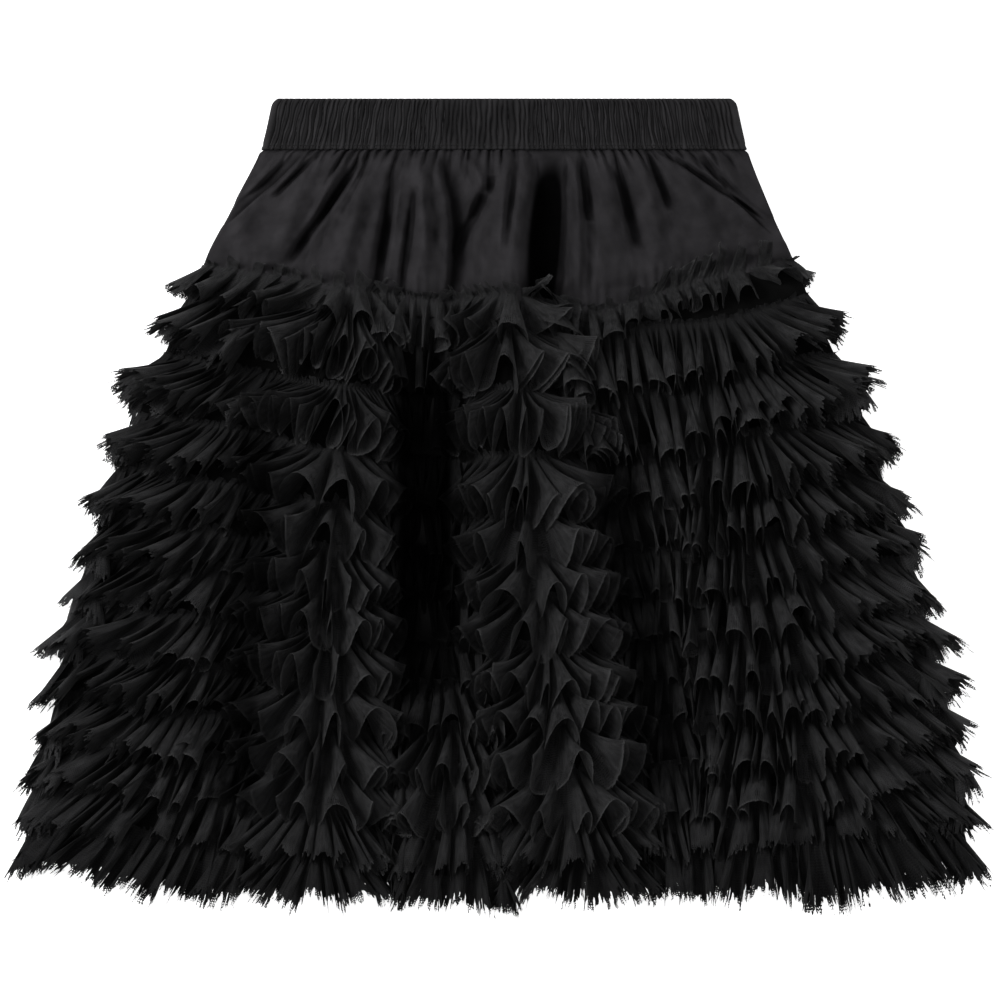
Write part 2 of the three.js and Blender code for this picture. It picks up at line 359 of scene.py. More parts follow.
def add_values(piece, name, values):
    """Stores a value on each point. "depth" is how deep in a fold it lies, from 0 in the open to 1, painted
    as shade.
    """
    attribute = piece.data.attributes.new(name, "FLOAT", "POINT")
    attribute.data.foreach_set("value", values.astype(np.float32).ravel())


def painted_fold_shade(points, columns):
    """The painted shade of a front: how far each point lies below the cloth on both sides of it, as a share
    of a deep fold.
    """
    height = points[:, :columns, 2]
    depth = np.zeros(points.shape[:2])
    for blur, shallow, deep, share in FOLD_SHADE_SIZES:
        reach = np.arange(-3 * blur, 3 * blur + 1)
        weight = np.exp(-0.5 * (reach / blur) ** 2)
        weight = weight / weight.sum()
        padded = np.pad(height, ((0, 0), (3 * blur, 3 * blur)), mode="edge")
        around = np.stack([np.convolve(row, weight, mode="valid") for row in padded])
        depth[:, :columns] = np.maximum(depth[:, :columns], share * smooth(around - height, shallow, deep))
    return depth


YOKE_COLUMNS = 520
YOKE_LAP = 4.0  # how far the yoke reaches below its seam
YOKE_TUCK = 1.4  # how far it reaches up into the waistband
YOKE_NARROW = 0.016  # the share by which it is narrower in there
# The wide folds and the gathers, painted darker as shade: how many columns they span, where their
# shade begins and ends, and its share.
FOLD_SHADE_SIZES = (
    (22, 1.0, 10.5, 0.8),
    (5, 0.3, 1.8, 0.6),
)
PIT_SHADE = (12.0, 21.0)  # the trough's depth where its full painted shade begins and ends


def yoke_droop(across, down):
    """How far the yoke's rows sag on their way down to the first tier's seam."""
    return at_place(YOKE_EDGE, across) * smooth(down, 70, YOKE_END)


def add_yoke(material):
    rng = np.random.default_rng(SEED)
    upper = np.linspace(BAND_HEIGHT - YOKE_TUCK, 60, 34)
    lower = np.linspace(61, YOKE_END + YOKE_LAP, 52)
    downs = np.concatenate([upper, lower])
    points = tube_points(downs, YOKE_COLUMNS, BACK_COLUMNS, gather_relief(rng), yoke_droop)
    tucked = 1 - smooth(downs, BAND_HEIGHT - YOKE_TUCK, BAND_HEIGHT + 2.5)
    middle = outline(downs, 3)[:, None]
    points[..., 0] = middle + (points[..., 0] - middle) * (1 - YOKE_NARROW * tucked[:, None])
    yoke = add_grid("yoke_cloth", points, length_uvs(points), material)
    columns = YOKE_COLUMNS + 1
    # Painted shade in the folds, the gathers and the deep trough, which darkens the yoke's colour there.
    shade = painted_fold_shade(points, columns)
    across = np.linspace(-1, 1, columns)[None, :]
    front_downs = downs[:, None] + yoke_droop(across, downs[:, None])
    pit_shade = smooth(trough_depth(points[:, :columns, 0], front_downs), *PIT_SHADE)
    shade[:, :columns] = np.maximum(shade[:, :columns], pit_shade)
    add_values(yoke, "depth", shade)
    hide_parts("yoke")
    return yoke


BASE_SINK = 1.2  # how far the base lies below the yoke
BASE_DIP = 72  # where the yoke lies lowest on the base, so the base sinks a little more
DIP_HALF = 30


def base_relief(x, down):
    deeper = np.exp(-(((x - BASE_DIP) / DIP_HALF) ** 2))
    return -(BASE_SINK + deeper) * (1 - smooth(down, YOKE_END + 30, 175))


def add_base(material):
    downs = np.linspace(YOKE_END - 2, BASE_END, 70)
    points = tube_points(downs, 240, BACK_COLUMNS, base_relief)
    base = add_grid("base_cloth", points, length_uvs(points), material)
    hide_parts("base_skirt")
    return base


# The deep valleys between the ridges: x at the yoke and at the hem, where they open and close, half
# width, and how dark their painted shade is.
VALLEYS = (
    (-50, -46, 140, 200, 370, 450, 20, 1.0),
    (56, 124, 200, 250, 430, 500, 14, 0.8),
    (-150, -180, 190, 240, 460, 520, 12, 0.8),
)


def hollow(x, down, size=1.0, shaded=False):
    """1 in the middle of a deep valley, falling to 0 outside it.

    size widens the valley. With shaded it is the valley's painted shade, which has a broader middle.
    """
    share = share_between(down, RIDGE_TOP, RIDGE_HEM)
    total = np.zeros(np.shape(x))
    for top, end, opens, open_end, closes, close_end, half, dark in VALLEYS:
        side = (x - mix(top, end, share)) / (half * size)
        shown = smooth(down, opens, open_end) * (1 - smooth(down, closes, close_end))
        weight = dark if shaded else 1
        core = np.minimum(1, 1.6 * np.exp(-side * side)) if shaded else np.exp(-side * side)
        total = np.maximum(total, weight * core * shown)
    return total


BAND_RIBS = 90
BAND_RELIEF = 3.1
BAND_FLAT = (-38, 20)  # a stretch where the casing is less gathered


def band_ribs(rng):
    """The rib height round the front of the waistband, from 0 in a groove to 1 on a rib."""
    widths = rng.uniform(0.7, 1.35, BAND_RIBS)
    edges = np.concatenate([[0], np.cumsum(widths)])
    edges = edges / edges[-1] * 2 - 1
    tall = rng.uniform(0.6, 1.0, BAND_RIBS + 1)

    def ribs(across, down, x):
        wander = 0.0028 * np.sin(across * 37 + down * 0.16) + 0.0024 * np.sin(across * 91 - down * 0.31)
        phase = np.interp(across + wander, edges, np.arange(BAND_RIBS + 1))
        size = np.interp(phase, np.arange(BAND_RIBS + 1), tall)
        after = smooth(x, BAND_FLAT[0] - 8, BAND_FLAT[0] + 4)
        before = smooth(-x, -BAND_FLAT[1] - 8, -BAND_FLAT[1] + 4)
        flat = 1 - 0.35 * (after * before)
        flat = flat * (1 - 0.35 * smooth(across, 0.84, 0.93))
        return 1 - flat * (1 - size * np.abs(np.cos(np.pi * phase)) ** 0.6)

    return ribs


# The outer rings of the waistband: how far down they lie, and how much thinner the band is there.
BAND_RINGS = (
    (0.0, 1.5), (0.6, 0.75), (1.6, 0.2), (3, 0), (5, 0), (8, 0), (12, 0), (17, 0), (22, 0), (26, 0),
    (29, 0.1), (31, 0.55), (32.2, 0.3), (33, 0.15), (34.0, 0.6),
)
INNER_RINGS = (33.6, 17.0, 0.5)
INNER_INSET = 1.6
END_STEPS = 10
BAND_CORNER = 3.0  # how far the top of its ends is rounded


def band_ring(down, inset, ribs=None):
    """One ring round the casing, inset from its surface: its points, and how deep they lie in grooves, for
    painted shade there.
    """
    radius = BAND_THICKNESS / 2
    reach = radius - inset
    half = outline(down, 1) - radius
    corner = BAND_CORNER * (1 - smooth(down, 0, 6)) ** 2
    across = np.linspace(-1, 1, BAND_RIBS * 8 + 1)
    x = outline(down, 3) + across * (half - corner * 0.5)
    fade = mix(0.5, 1, np.sin(np.pi * down / BAND_HEIGHT) ** 0.6)
    relief = BAND_RELIEF * fade * (ribs(across, down, x) - 1) if ribs else 0 * x
    front = np.stack([x, 0 * x, radius + reach + relief], axis=-1)
    turn = np.pi / 2 - np.pi * np.arange(1, END_STEPS) / END_STEPS
    right = np.stack([x[-1] + reach * np.cos(turn), 0 * turn, radius + reach * np.sin(turn)], axis=-1)
    back_x = np.linspace(x[-1], x[0], BACK_COLUMNS + 1)
    back = np.stack([back_x, 0 * back_x, 0 * back_x + radius - reach], axis=-1)
    left = right[::-1] * [-1, 1, 1]
    left[:, 0] += 2 * outline(down, 3)
    points = ring(front, right, back, left)
    points[:, 1] = TOP_Y - down
    depth = np.zeros(len(points))
    # Painted shade in the grooves between the ribs.
    depth[:len(x)] = np.clip(-1.6 * relief / BAND_RELIEF, 0, 1)
    return points, depth


def add_waistband(material):
    ribs = band_ribs(np.random.default_rng(SEED + 1))
    outer = [band_ring(down, thinner, ribs) for down, thinner in BAND_RINGS]
    inner = [band_ring(down, INNER_INSET) for down in INNER_RINGS]
    rings = outer + inner + outer[:1]
    points = np.stack([ring_points for ring_points, _ in rings])
    band = add_grid("waistband_cloth", points, length_uvs(points), material)
    add_values(band, "depth", np.stack([depth for _, depth in rings]))
    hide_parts("waistband")
    return band


STITCH_ROWS = (31.2, 33.2)
STITCH_HEIGHT = BAND_THICKNESS - 0.95
STITCH_PITCH = 2.6
STITCH_SIDES = 6
STITCH_PROFILE = ((-1.0, 0.1), (-0.7, 0.24), (0.0, 0.3), (0.7, 0.24), (1.0, 0.1))  # place along it, radius


def stitch_points(x, y):
    """The points of one stitch, in metres: rings round a short thread that is thinner at its ends."""
    points = []
    for along, radius in STITCH_PROFILE:
        for turn in 2 * np.pi * np.arange(STITCH_SIDES) / STITCH_SIDES:
            place = (x + along, y + radius * math.cos(turn), STITCH_HEIGHT + radius * math.sin(turn))
            points.append([value * METRES for value in place])
    return points


def stitch_faces(start):
    """The faces of one stitch whose first point has the index start."""
    last = start + (len(STITCH_PROFILE) - 1) * STITCH_SIDES
    faces = []
    for low in range(start, last, STITCH_SIDES):
        high = low + STITCH_SIDES
        for i in range(STITCH_SIDES):
            j = (i + 1) % STITCH_SIDES
            faces.append((low + i, low + j, high + j, high + i))
    faces.append(tuple(start + i for i in reversed(range(STITCH_SIDES))))
    faces.append(tuple(last + i for i in range(STITCH_SIDES)))
    return faces


def add_stitching(material):
    """Two rows of small stitches along the lower edge of the waistband, on its front."""
    vertices = []
    faces = []
    for down in STITCH_ROWS:
        half = float(outline(down, 1)) - BAND_THICKNESS / 2
        shift = float(outline(down, 3))
        for x in np.arange(shift - half + 1, shift + half - 1, STITCH_PITCH):
            faces += stitch_faces(len(vertices))
            vertices += stitch_points(x, TOP_Y - down)
    mesh = bpy.data.meshes.new("waistband_stitching")
    mesh.from_pydata(vertices, [], faces)
    add_piece("waistband_stitching", mesh, material)


# How a tier's waves hang. Lengths are in millimetres, angles in degrees, and the rest are shares.
FRILL = dict(
    wave_side=9.0,
    wave_crest=6.2,
    wave_back=9.0,
    amplitude=0.38,
    overhang=0.16,
    first_wave=12.0,
    low=14,
    high=27,
    swing_low=13,
    swing_high=20,
    draw_low=6.0,
    draw_high=12.0,
    fold_left=9,
    fold_right=1,
    fan=28,
    left_slant=30,
    right_slant=40,
    heading=4.5,
    fullness=1.12,
    ridge_size=1.5,
)
# The ranges of chance in it, the lowest and the highest value.
CHANCE = dict(
    amplitude=(0.65, 1.35),
    overhang=(0.5, 1.35),
    rise=(-7, 8),
    lift=(0.7, 1.3),
    fan=(-13, 13),
    fold_fan=(-38, 25),
    drop=(0.84, 1.1),
    skew=(-2, 2),
    fine=(-1.5, 1.5),
    curl=(-5, 6),
    heading=(0.5, 1.3),
    aside=(-0.5, 0.5),
)
WAVE_STEPS = 16
FRILL_ROWS = np.array([-0.15, -0.07, 0, 0.07, 0.17, 0.3, 0.45, 0.6, 0.75, 0.88, 1.0])
NARROW_TIERS = (1, 2)  # the tiers whose waves on the ridges are narrower and shorter
ROOT_SHADE = 0.42  # how dark the painted shadow is where a tier comes out from under the one above it
LAST_SHADE = 0.5  # how dark the last tiers are
PETAL_HEIGHT = 46  # the height from which the petals' tips are held back
TIP_ROOM = 19  # the most by which they may pass it

# How far the first tier's seam droops below its level, for each place across.
YOKE_EDGE = (
    (-1.0, 5), (-0.7, 5), (-0.5, 9), (-0.2, 14),
    (0.0, 9), (0.15, 10), (0.33, 22), (0.5, 13),
    (0.65, 7), (0.85, 2), (1.0, 1),
)
# The same for the second tier's seam.
SECOND_SEAM = (
    (-1.0, 0), (0.2, 0), (0.35, 5), (0.6, 8),
    (0.88, 5), (1.0, 1),
)
# How far the first tier reaches down, for each place across, as a share of its length.
FIRST_REACH = (
    (-1.0, 0.70), (-0.7, 0.85), (-0.2, 0.75), (0.15, 0.75),
    (0.28, 0.6), (0.6, 0.4), (0.85, 0.5), (1.0, 0.5),
)
FOLD_REACH = (0, 0.86, 0.84, 0.96)  # the next tiers' reach at the side folds
OTHER_FOLD_REACH = 1.1  # and that of the tiers below them
# The same as FIRST_REACH for the last tier.
LAST_REACH = (
    (-1.0, 1.1), (-0.75, 1.1), (-0.6, 1.0), (0.3, 1.0),
    (0.6, 1.13), (0.8, 1.22), (1.0, 1.28),
)
# How tall the first tier's heading is, for each place across, as a share of the usual.
HEADING = (
    (-1.0, 1.0), (-0.85, 1.2), (-0.7, 2.0), (0.3, 2.0),
    (0.42, 2.4), (0.6, 4.0), (0.85, 4.2), (0.96, 1.5),
    (1.0, 1.0),
)


def seam_wander(rng, number):
    """How far a tier's seam strays from its level, in millimetres, for each place across."""
    size = 0.8 if number == 0 else 3.2
    waves = [(rate, rng.uniform(0, 2 * np.pi), size / rate**0.5) for rate in (2.5, 5.0, 9.0, 17.0)]

    def wander(across):
        total = sum(reach * np.sin(rate * across + start) for rate, start, reach in waves)
        total = total * (1 - across**8)
        if number == 0:
            total = total + at_place(YOKE_EDGE, across)
        if number == 1:
            total = total + at_place(SECOND_SEAM, across)
        return total

    return wander


def seam_path(level, wander):
    """The seam of a tier all round the skirt.

    Gives its points, the directions down and outward there, the place across, and a share that is 1 on
    the front and 0 on the back.
    """
    steps = 16
    aside = 5
    across = np.linspace(-1, 1, 1601)
    down = level + wander(across)
    front = front_points(across, down)
    ahead = front_points(across, down + aside)
    behind = front_points(across, down - aside)
    front_down = unit(ahead - behind)
    front_out = unit(np.cross(front_down, unit(np.gradient(front, axis=0))))
    front[:, 2] += 0.4
    back = front[::-4].copy()
    back[:, 2] = STRIP_FLOOR
    back_down = unit((ahead - behind)[::-4] * [1, 1, 0])
    back_out = np.broadcast_to([0.0, 0.0, -1.0], back.shape)
    right, right_out = fold_arc(front[-1], back[0], 1, steps)
    left, left_out = fold_arc(front[0], back[-1], -1, steps)
    right_down = np.broadcast_to(back_down[0], right.shape)
    left_down = np.broadcast_to(back_down[-1], left.shape)
    on_fold = np.ones(steps - 1)
    turning = 1 - smooth(np.arange(1, steps) / steps, 0.55, 1.0)
    return (
        ring(front, right, back, left),
        ring(front_down, right_down, back_down, left_down),
        ring(front_out, right_out, back_out, left_out),
        ring(across, on_fold, across[::-4], -on_fold),
        ring(np.ones(len(front)), turning, np.zeros(len(back)), turning[::-1]),
    )


def reach_share(number, place, front):
    """How far a tier reaches down on the front, as a share of its length."""
    if number == 0:
        share = at_place(FIRST_REACH, place)
    elif number < len(FOLD_REACH):
        share = mix(1, FOLD_REACH[number], smooth(np.abs(place), 0.85, 1))
    else:
        share = mix(1, OTHER_FOLD_REACH, smooth(np.abs(place), 0.88, 1))
    if number == 1:
        share = share * (1 - 0.16 * smooth(place, 0.25, 0.4))
    if number == len(TIERS) - 1:
        share = at_place(LAST_REACH, place)
    return mix(1, share, front)


def wave_lengths(number, along, crest, places, fronts):
    """How long a tier's waves are, in millimetres, for each point along its seam."""
    wave = mix(FRILL["wave_side"], FRILL["wave_crest"], crest)
    if number in NARROW_TIERS:
        wave = wave * mix(1, 0.46, smooth(crest, 0, 0.3))
    wave = mix(FRILL["wave_back"], wave, fronts)
    if number == 0:
        wave = mix(wave, FRILL["first_wave"] + 5 * smooth(places, 0.3, 0.5), fronts)
    drift = 1 + 0.3 * np.sin(along * 0.031 + number) + 0.22 * np.sin(along * 0.083 + 2.3 * number)
    return wave * drift


class Frill:
    """A gathered strip, folded in waves that open downwards, with a value for each step along its seam."""

    def __init__(self, down, free, number):
        self.number = number
        self.length = free - down
        self.middle = (down + free) / 2
        self.last = smooth(down, TIERS[-3][0], TIERS[-1][0])
        self.calm = 1 - 0.6 * smooth(down, TIERS[-4][0], TIERS[-1][0])
        self.rng = np.random.default_rng(SEED + 10 * number)
        self.lay_steps(*seam_path(down, seam_wander(self.rng, number)))
        self.on_fold = smooth(np.abs(self.place), 0.96, 1)
        self.deep = hollow(self.seam[:, 0], self.middle) * self.front
        self.hang()
        self.curl()
        self.raise_heading()

    def lay_steps(self, path, downs, outs, places, fronts):
        """Lays the steps of the waves along the seam."""
        along = length_along(path)
        crest = np.clip(ridge_height(path[:, 0], self.middle) / HIGH_RIDGE, 0, 1) ** 0.8 * fronts
        wave = wave_lengths(self.number, along, crest, places, fronts)
        phase = np.concatenate([[0], np.cumsum(np.diff(along) / ((wave[1:] + wave[:-1]) / 2))])
        self.waves = int(round(phase[-1]))
        phase = phase / phase[-1] * self.waves * 2 * np.pi
        self.phases = np.arange(self.waves * WAVE_STEPS + 1) * 2 * np.pi / WAVE_STEPS

        def at(values):
            if values.ndim == 1:
                return np.interp(self.phases, phase, values)
            return np.stack([np.interp(self.phases, phase, column) for column in values.T], axis=-1)

        self.seam = at(path)
        self.down_way = unit(at(downs))
        self.out_way = unit(at(outs))
        self.side_way = unit(np.cross(self.out_way, self.down_way))
        self.place = at(places)
        self.front = at(fronts)
        self.crest = at(crest)
        self.wave = at(wave)

    def random(self, name):
        """Random values in a range of chance, two to a wave, joined smoothly along the waves."""
        values = self.rng.uniform(*CHANCE[name], 2 * self.waves)
        values = np.append(values, values[0])
        place = self.phases / np.pi
        index = np.minimum(place.astype(int), 2 * self.waves - 1)
        return mix(values[index], values[index + 1], smooth(place - index, 0, 1))

    def hang(self):
        """How large each wave is, how steeply it stands up, where it fans out to and how far it reaches."""
        crest, deep, on_fold = self.crest, self.deep, self.on_fold
        self.amplitude = FRILL["amplitude"] * self.wave * self.random("amplitude")
        self.amplitude = self.amplitude * mix(1, FRILL["ridge_size"], crest)
        self.overhang = FRILL["overhang"] * self.wave * self.random("overhang")
        rise = mix(FRILL["low"], FRILL["high"], crest) * self.calm * (1 - 0.8 * deep)
        rise = rise + self.random("rise") * (1 - deep)
        rise_at_fold = np.where(self.place > 0, FRILL["fold_right"] - 7 * self.last, FRILL["fold_left"])
        rise = mix(rise, rise_at_fold, on_fold)
        lift = np.sin(self.phases) * self.random("lift")
        sway = mix(FRILL["swing_low"], FRILL["swing_high"], crest) * self.calm
        sway = sway * (1 - 0.6 * on_fold) * (1 - 0.6 * deep)
        rise = np.radians(rise + sway * lift)
        self.draw = mix(FRILL["draw_low"], FRILL["draw_high"], crest) * (0.5 + 0.5 * lift) * self.calm
        fan = self.fan_angles()
        self.drop = self.drops(fan)
        self.go = unit(
            scaled(self.down_way, np.cos(rise) * np.cos(fan))
            + scaled(self.side_way, np.cos(rise) * np.sin(fan))
            + scaled(self.out_way, np.sin(rise))
        )

    def fan_angles(self):
        """How far each step turns to the side, in radians."""
        slant = FRILL["right_slant"] * (1 - 0.3 * self.last) * smooth(self.place, 0.7, 0.97)
        slant = slant - FRILL["left_slant"] * smooth(-self.place, 0.32, 0.75)
        flank = np.clip(ridge_flank(self.seam[:, 0], self.middle), -1, 1)
        fan = FRILL["fan"] * flank * (1 - 0.75 * self.beside_valley()) + slant + self.random("fan")
        return np.radians(fan * (1 - self.on_fold) + self.random("fold_fan") * self.on_fold)

    def beside_valley(self):
        return hollow(self.seam[:, 0], self.middle, 1.9) * self.front

    def drops(self, fan):
        """How long each step is from the seam to the free edge, in millimetres."""
        fullness = FRILL["fullness"] - 0.03 * self.last * (1 - self.on_fold)
        drop = self.length * fullness * self.random("drop")
        drop = drop * reach_share(self.number, self.place, self.front)
        drop = drop * (1 + 0.12 * np.abs(np.sin(fan))) * (1 - 0.26 * self.beside_valley())
        if self.number in NARROW_TIERS:
            drop = drop * (1 - 0.18 * self.crest)
        return drop

    def curl(self):
        """The shape of the waves across the strip, at full size."""
        along_go = np.sum(self.out_way * self.go, axis=-1, keepdims=True)
        self.high_way = unit(self.out_way - self.go * along_go)
        self.swing_way = unit(np.cross(self.high_way, self.go))
        self.swing = -self.overhang * np.sin(2 * self.phases)
        waving = np.sin(self.phases) + 0.22 * np.sin(2 * self.phases + self.random("skew"))
        self.height = self.amplitude * waving
        self.fine = 0.16 * self.wave * np.sin(3 * self.phases + self.random("fine"))
        self.curled = self.random("curl") * mix(0.55, 1, self.crest)

    def raise_heading(self):
        """How tall the heading above the seam is, where it points and how far it ruffles."""
        first = self.number == 0
        tall = at_place(HEADING, self.place) if first else np.ones(len(self.place))
        tall = mix(1, tall, self.front)
        upright = (smooth(tall, 1, 2) * (1 - smooth(tall, 2, 3)))[:, None]
        leaning = smooth(tall, 2, 3)[:, None]
        size = FRILL["heading"] * (1 - 0.95 * self.on_fold)
        self.heading = size * self.random("heading") * tall
        aside = self.random("aside")[:, None] + 0.6 * leaning
        outward = self.out_way * (0.75 + 0.5 * upright - 0.3 * leaning)
        self.up_way = unit(outward - self.down_way + self.side_way * aside)
        self.ruffle = (2.2 if first else 1.0) * (self.height + self.fine)

    def heading_row(self, share):
        """A row of the heading: on the front, and as it lies on the back."""
        reach = share / FRILL_ROWS[0]
        amount = 0.8 * reach
        shaped = self.seam + scaled(self.up_way, self.heading * reach) + (
            scaled(self.swing_way, self.swing * amount) + scaled(self.high_way, self.ruffle * amount)
        )
        laid = self.seam - self.down_way * (3 * reach)
        laid[:, 2] = STRIP_FLOOR
        return shaped, laid

    def free_row(self, share):
        """A row below the seam: on the front, and as it lies on the back."""
        amount = share**0.8
        tucks = self.fine * 3.2 * share * (1 - share) ** 1.5
        bowed = 1.6 * np.sin(np.pi * share) + self.curled * share**3
        shaped = self.seam + scaled(self.go, self.drop * share)
        shaped = shaped + scaled(self.out_way, bowed)
        shaped = shaped + scaled(self.swing_way, self.swing * amount)
        shaped = shaped + scaled(self.high_way, self.height * amount + tucks)
        shaped = shaped + scaled(self.down_way, -self.draw * share**2)
        reach = self.length * (1 - 0.2 * self.last) * share * self.drop / self.drop.mean()
        laid = self.seam + scaled(self.down_way, reach) + scaled(self.side_way, 1.4 * self.swing * amount)
        laid[:, 2] = mix(STRIP_FLOOR, 1.25, share) - 0.95 * amount * np.sin(self.phases)
        return shaped, laid

    def points(self):
        """All rows, from the top of the heading to the free edge."""
        rows = []
        for share in FRILL_ROWS:
            shaped, laid = self.heading_row(share) if share < 0 else self.free_row(share)
            row = mix(laid, shaped, self.front[:, None])
            row[:, 2] = np.maximum(row[:, 2], 0.2)
            past = row[:, 2] - PETAL_HEIGHT
            row[:, 2] = np.where(past > 0, PETAL_HEIGHT + TIP_ROOM * np.tanh(past / TIP_ROOM), row[:, 2])
            rows.append(row)
        points = np.stack(rows)
        points[:, -1] = points[:, 0]
        return points

    def uvs(self, points):
        """The length along the free edge, and the height above the nearer cut edge."""
        from_edge = np.where(FRILL_ROWS < 0, 4 * (FRILL_ROWS - FRILL_ROWS[0]), 1 - FRILL_ROWS)
        up_from_edge = from_edge[:, None] * self.length * FRILL["fullness"]
        return np.stack(np.broadcast_arrays(length_along(points[-1])[None, :], up_from_edge), axis=-1)

    def ragged(self):
        """How frayed the free edge is at each step, from 0 to 1."""
        ragged = 1 - self.front * (1 - smooth(np.abs(self.place), 0.6, 1))
        ragged = np.maximum(ragged * (1 - 0.6 * self.crest), self.last)
        if self.number == 0:
            ragged = ragged * mix(1, 0.12, self.front * (1 - self.on_fold))
        return ragged

    def depth(self, points):
        """How dark each point is: painted shade in the valleys and painted shadow under the tier above, and
        darker at the hem.
        """
        # Painted shade in the valleys.
        depth = hollow(points[..., 0], self.middle, 1.1, shaded=True) * self.front
        shares = np.broadcast_to(FRILL_ROWS[:, None], depth.shape)
        # Painted shadow of the tier above, where this one comes out from under it.
        root = (1 - smooth(shares, 0.3, 0.62)) * self.front * (1 - 0.5 * self.crest)
        if self.number > 0:
            depth = np.maximum(depth, ROOT_SHADE * root)
        return np.maximum(depth, LAST_SHADE * self.last)


FIRST_EXTRA = 10  # how much longer the first tier is than the table says


def add_frill(down, free, number, material):
    if number == 0:
        free = free + FIRST_EXTRA
    frill = Frill(down, free, number)
    points = frill.points()
    piece = add_grid(f"tulle_tier_{number + 1:02d}", points, frill.uvs(points), material)
    add_values(piece, "ragged", np.broadcast_to(frill.ragged(), points.shape[:2]))
    add_values(piece, "depth", frill.depth(points))
    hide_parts(f"ruffle_{number + 1:02d}")
    return piece


# The sockets of a Mix node for colours.
MIX_SHARE = 0
MIX_FIRST = 6
MIX_SECOND = 7
MIX_RESULT = 2
DULL_SHARE = 0.12  # the share of the gloss and the sheen that is left in the depth of a fold, dulled there as painted shade
SHEEN_ROUGHNESS = 0.4
WHITE = (1, 1, 1)


def grey(value, blue=0.0):
    return value, value, value + blue


def set_inputs(node, values):
    for entry, value in values.items():
        node.inputs[entry].default_value = value


class Shading:
    """A material's node tree, with short calls to add nodes to it."""

    def __init__(self, name):
        self.material = bpy.data.materials.new(name)
        self.material.use_nodes = True
        self.tree = self.material.node_tree
        self.tree.nodes.clear()
        output = self.node("ShaderNodeOutputMaterial")
        self.shader = self.node("ShaderNodeBsdfPrincipled")
        self.join(self.shader, "BSDF", output, "Surface")

    def node(self, kind, values=None, **settings):
        """Adds a node with the settings given, and with values for its inputs."""
        node = self.tree.nodes.new(kind)
        for key, value in settings.items():
            setattr(node, key, value)
        set_inputs(node, values or {})
        return node

    def join(self, source, output, target, entry):
        self.tree.links.new(source.outputs[output], target.inputs[entry])

    def cloth_place(self):
        return self.node("ShaderNodeUVMap", uv_map="cloth")

    def stretch(self, place, output, scale):
        mapping = self.node("ShaderNodeMapping", {"Scale": scale})
        self.join(place, output, mapping, "Vector")
        return mapping

    def noise(self, place, scale, detail=4.0):
        noise = self.node("ShaderNodeTexNoise", {"Scale": scale, "Detail": detail})
        self.join(place, 0, noise, "Vector")
        return noise

    def ramp(self, source, output, stops):
        ramp = self.node("ShaderNodeValToRGB")
        elements = ramp.color_ramp.elements
        for element, (place, colour) in zip(elements, (stops[0], stops[-1])):
            element.position = place
            element.color = (*colour, 1)
        for place, colour in stops[1:-1]:
            elements.new(place).color = (*colour, 1)
        self.join(source, output, ramp, "Fac")
        return ramp

    def spread(self, source, output, low, high, to_low, to_high):
        values = {"From Min": low, "From Max": high, "To Min": to_low, "To Max": to_high}
        spread = self.node("ShaderNodeMapRange", values)
        self.join(source, output, spread, "Value")
        return spread

    def math(self, operation, first, second, output=0):
        """A math node on the values of two nodes, the first by the output named."""
        math_node = self.node("ShaderNodeMath", operation=operation)
        self.join(first, output, math_node, 0)
        self.join(second, 0, math_node, 1)
        return math_node

    def multiply(self, first, first_output, second, second_output):
        """The product of two colours, each the output of a node."""
        product = self.node("ShaderNodeMix", {MIX_SHARE: 1.0}, data_type="RGBA", blend_type="MULTIPLY")
        self.join(first, first_output, product, MIX_FIRST)
        self.join(second, second_output, product, MIX_SECOND)
        return product

    def bump(self, source, output, distance, strength, below=None):
        bump = self.node("ShaderNodeBump", {"Distance": distance, "Strength": strength})
        self.join(source, output, bump, "Height")
        if below is not None:
            self.join(below, "Normal", bump, "Normal")
        return bump

    def shade(self, colour, output, share, sheen, gloss):
        """Colours the shader by a node's colour, with painted shade: darker by a share in the depth of a
        fold.

        The sheen and the gloss nearly go there, which is painted shade as well.
        """
        depth = self.node("ShaderNodeAttribute", attribute_name="depth")
        darker = self.multiply(colour, output, self.spread(depth, "Fac", 0, 1, 1, 1 - share), 0)
        self.join(darker, MIX_RESULT, self.shader, "Base Color")
        for entry, value in (("Sheen Weight", sheen), ("Specular IOR Level", gloss)):
            left = self.spread(depth, "Fac", 0, 1, value, DULL_SHARE * value)
            self.join(left, 0, self.shader, entry)

    def finish(self, bump, roughness, sheen, sheen_tint, specular):
        set_inputs(self.shader, {
            "Roughness": roughness,
            "Sheen Weight": sheen,
            "Sheen Roughness": SHEEN_ROUGHNESS,
            "Sheen Tint": (*sheen_tint, 1),
            "Specular IOR Level": specular,
        })
        self.join(bump, "Normal", self.shader, "Normal")
        return self.material


COTTON_GLOSS = 0.04
COTTON_TINT = (0.9, 0.86, 0.92)
COTTON_THREADS = 700  # threads in a metre, by the wave texture's own measure


